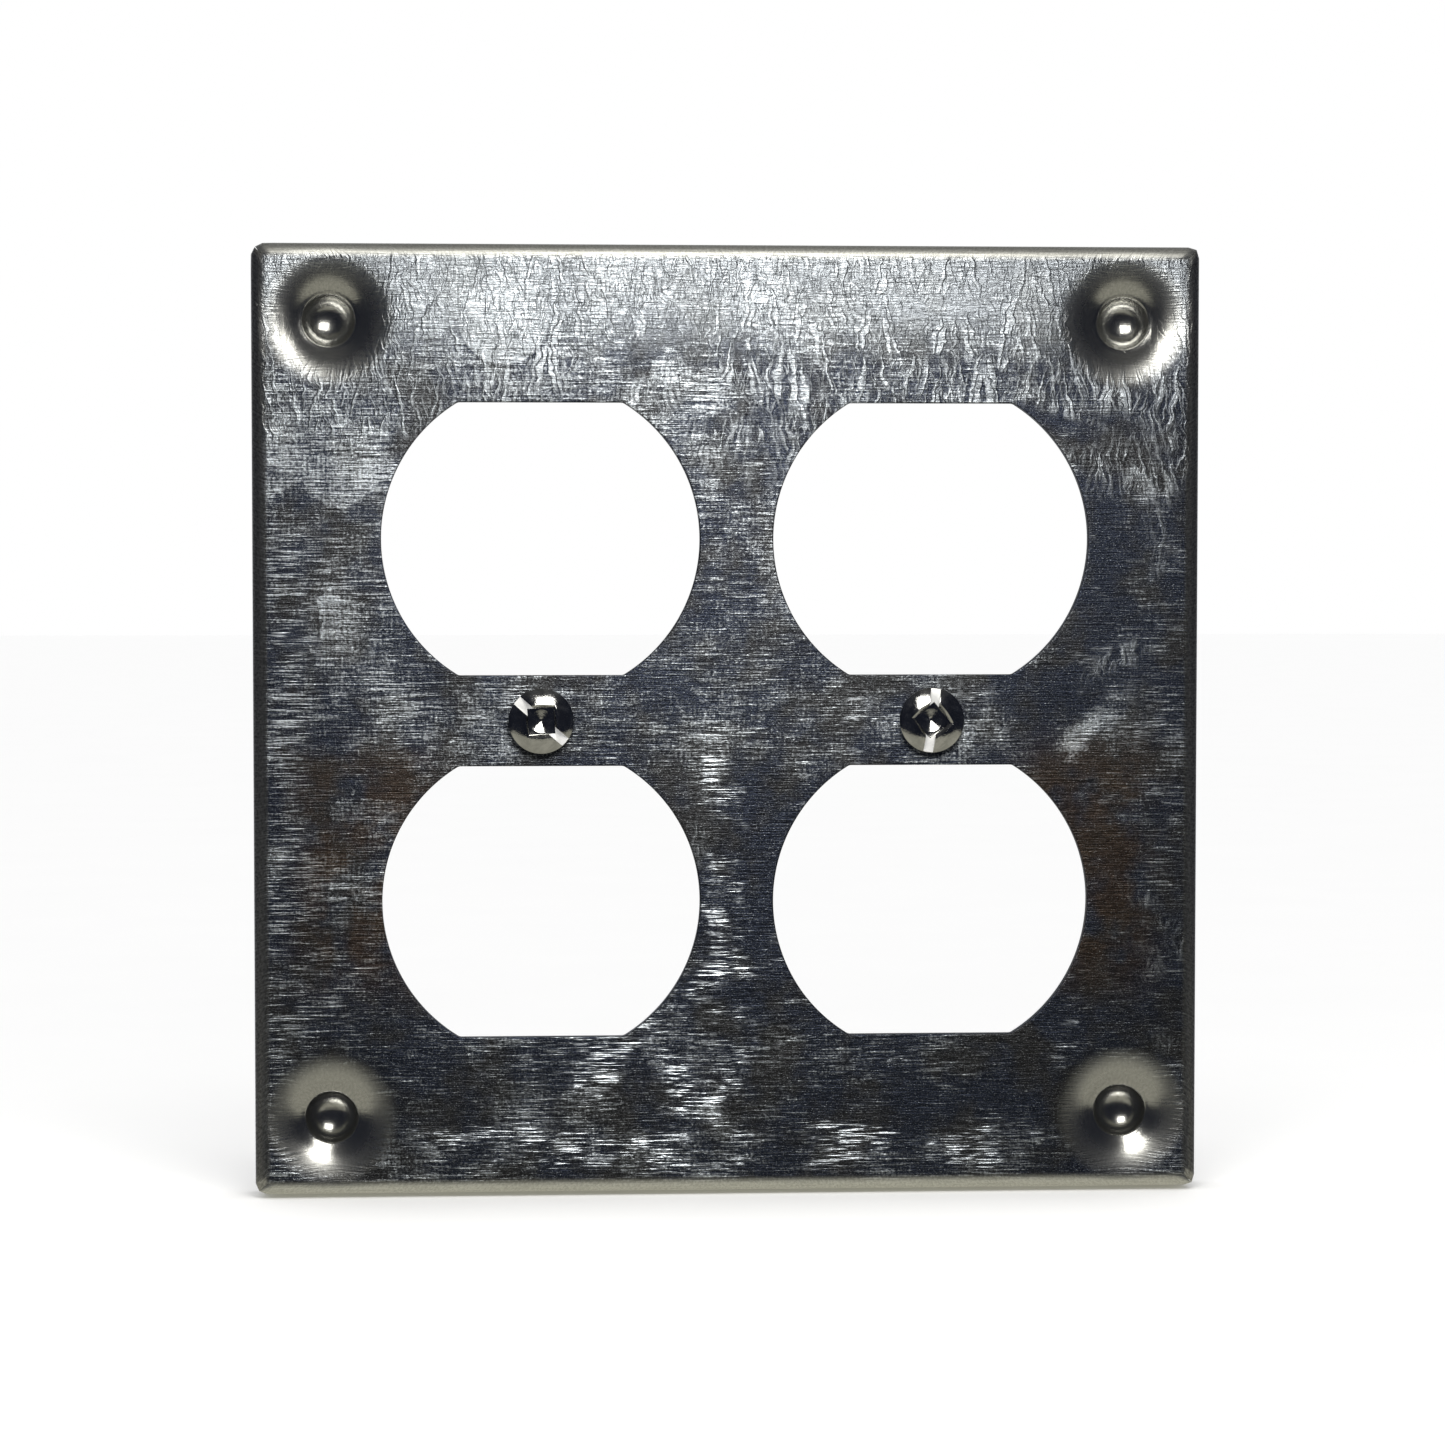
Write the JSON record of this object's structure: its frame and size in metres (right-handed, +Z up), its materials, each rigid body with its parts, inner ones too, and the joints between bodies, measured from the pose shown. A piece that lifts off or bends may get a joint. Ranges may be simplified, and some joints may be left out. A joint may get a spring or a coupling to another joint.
{
  "type": "duplex receptacle wall plate cover",
  "caption": "Square folded sheet steel surface cover with round flatted receptacle windows, dimpled corners and captive slotted screws that fasten it to the devices behind.",
  "frame": {"origin": "midway between the two device screws, in the plane of the flanges' free edges (the wall plane)", "axes": "+Z up, -Y out of the face towards the user, +Y into the wall along the device screws, +X to the right as seen from the front"},
  "size_m": [0.1016, 0.0115, 0.1016],
  "materials": {
    "galvanised_sheet": "hot-dip galvanised, feathery spangle, fine horizontal rolling lines",
    "plated_screw": "bright zinc plate",
    "fibre_washer": "vulcanised fibre, matt reddish brown"
  },
  "bodies": {
    "cover": {"cover_plate": "galvanised_sheet"},
    "washer_left": {"retaining_washer_left": "fibre_washer"},
    "screw_left": {"device_screw_left": "plated_screw"},
    "washer_right": {"retaining_washer_right": "fibre_washer"},
    "screw_right": {"device_screw_right": "plated_screw"}
  },
  "joints": [
    {"name": "screw_left_draw", "type": "slide", "parent": "cover", "child": "washer_left", "axis": [0, -1, 0], "range_m": [0, 0.0023]},
    {"name": "screw_left_turn", "type": "hinge", "parent": "washer_left", "child": "screw_left", "pos_m": [-0.02093, 0, 0], "axis": [0, -1, 0], "continuous": true},
    {"name": "screw_right_draw", "type": "slide", "parent": "cover", "child": "washer_right", "axis": [0, -1, 0], "range_m": [0, 0.0023]},
    {"name": "screw_right_turn", "type": "hinge", "parent": "washer_right", "child": "screw_right", "pos_m": [0.02093, 0, 0], "axis": [0, -1, 0], "continuous": true}
  ]
}
